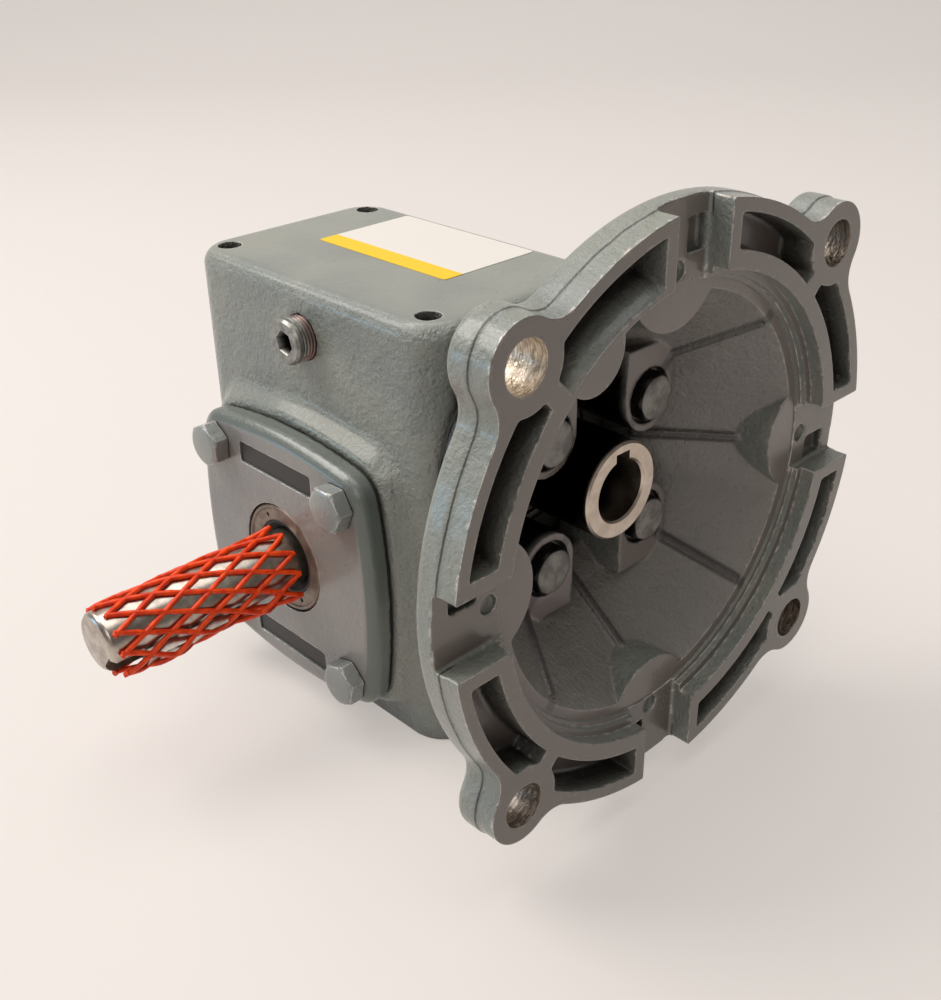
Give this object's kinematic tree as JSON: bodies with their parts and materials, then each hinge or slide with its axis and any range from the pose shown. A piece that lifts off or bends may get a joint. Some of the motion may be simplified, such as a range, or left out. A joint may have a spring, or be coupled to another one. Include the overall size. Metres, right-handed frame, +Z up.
{
  "type": "worm gear reducer",
  "caption": "Right-angle worm gear reducer with a round motor flange, a hollow keyed input quill inside it, a square bolted cover and a keyed output shaft in a protective net.",
  "frame": {"origin": "middle of the gearcase's base face, under the crossing of the two shaft axes", "axes": "+Z up, the output shaft points along -X, the motor flange faces -Y"},
  "size_m": [0.1736, 0.1485, 0.1522],
  "materials": {
    "enamel": "satin",
    "bolt_steel": "painted over in places",
    "machined_steel": "turned",
    "plug_steel": "dark, as forged",
    "bearing_steel": "ground",
    "seal_case": "dull",
    "cage_brass": "pressed",
    "gear_bronze": "hobbed",
    "gasket": "matte",
    "net_plastic": "extruded net"
  },
  "bodies": {
    "gearcase": {"housing": "enamel", "bell_flange": "enamel", "bell_gasket": "gasket", "bell_bolt_1": "bolt_steel", "bell_bolt_2": "bolt_steel", "bell_bolt_3": "bolt_steel", "bell_bolt_4": "bolt_steel", "output_cover": "enamel", "output_cover_gasket": "gasket", "output_cover_bolt_1": "bolt_steel", "output_cover_bolt_2": "bolt_steel", "output_cover_bolt_3": "bolt_steel", "output_cover_bolt_4": "bolt_steel", "closed_cover": "enamel", "closed_cover_gasket": "gasket", "closed_cover_bolt_1": "bolt_steel", "closed_cover_bolt_2": "bolt_steel", "closed_cover_bolt_3": "bolt_steel", "closed_cover_bolt_4": "bolt_steel", "output_seal": "seal_case", "input_seal": "seal_case", "bearing_snap_ring": "machined_steel", "level_plug": "plug_steel", "filler_plug": "plug_steel", "front_bearing_outer_race": "bearing_steel", "rear_bearing_outer_race": "bearing_steel", "left_bearing_outer_race": "bearing_steel", "right_bearing_outer_race": "bearing_steel"},
    "worm": {"worm_shaft": "machined_steel", "front_bearing_inner_race": "bearing_steel", "rear_bearing_inner_race": "bearing_steel"},
    "output": {"output_shaft": "machined_steel", "worm_wheel": "gear_bronze", "gear_key": "machined_steel", "output_key": "machined_steel", "left_spacer": "machined_steel", "right_spacer": "machined_steel", "left_bearing_inner_race": "bearing_steel", "right_bearing_inner_race": "bearing_steel", "net_sleeve": "net_plastic"},
    "front_cage": {"front_bearing_ball_cage": "cage_brass"},
    "rear_cage": {"rear_bearing_ball_cage": "cage_brass"},
    "left_cage": {"left_bearing_ball_cage": "cage_brass"},
    "right_cage": {"right_bearing_ball_cage": "cage_brass"}
  },
  "joints": [
    {"name": "worm_spin", "type": "hinge", "parent": "gearcase", "child": "worm", "pos_m": [0, 0, 0.0794], "axis": [0, 1, 0], "continuous": true},
    {"name": "output_spin", "type": "hinge", "parent": "gearcase", "child": "output", "pos_m": [0, 0, 0.0456], "axis": [1, 0, 0], "continuous": true},
    {"name": "front_cage_spin", "type": "hinge", "parent": "gearcase", "child": "front_cage", "pos_m": [0, 0, 0.0794], "axis": [0, 1, 0], "continuous": true},
    {"name": "rear_cage_spin", "type": "hinge", "parent": "gearcase", "child": "rear_cage", "pos_m": [0, 0, 0.0794], "axis": [0, 1, 0], "continuous": true},
    {"name": "left_cage_spin", "type": "hinge", "parent": "gearcase", "child": "left_cage", "pos_m": [0, 0, 0.0456], "axis": [1, 0, 0], "continuous": true},
    {"name": "right_cage_spin", "type": "hinge", "parent": "gearcase", "child": "right_cage", "pos_m": [0, 0, 0.0456], "axis": [1, 0, 0], "continuous": true}
  ],
  "couplings": [
    {"joint": "output_spin", "follows": "worm_spin", "ratio": 0.033333},
    {"joint": "front_cage_spin", "follows": "worm_spin", "ratio": 0.4435},
    {"joint": "rear_cage_spin", "follows": "worm_spin", "ratio": 0.38},
    {"joint": "left_cage_spin", "follows": "worm_spin", "ratio": 0.0127},
    {"joint": "right_cage_spin", "follows": "worm_spin", "ratio": 0.0127}
  ]
}
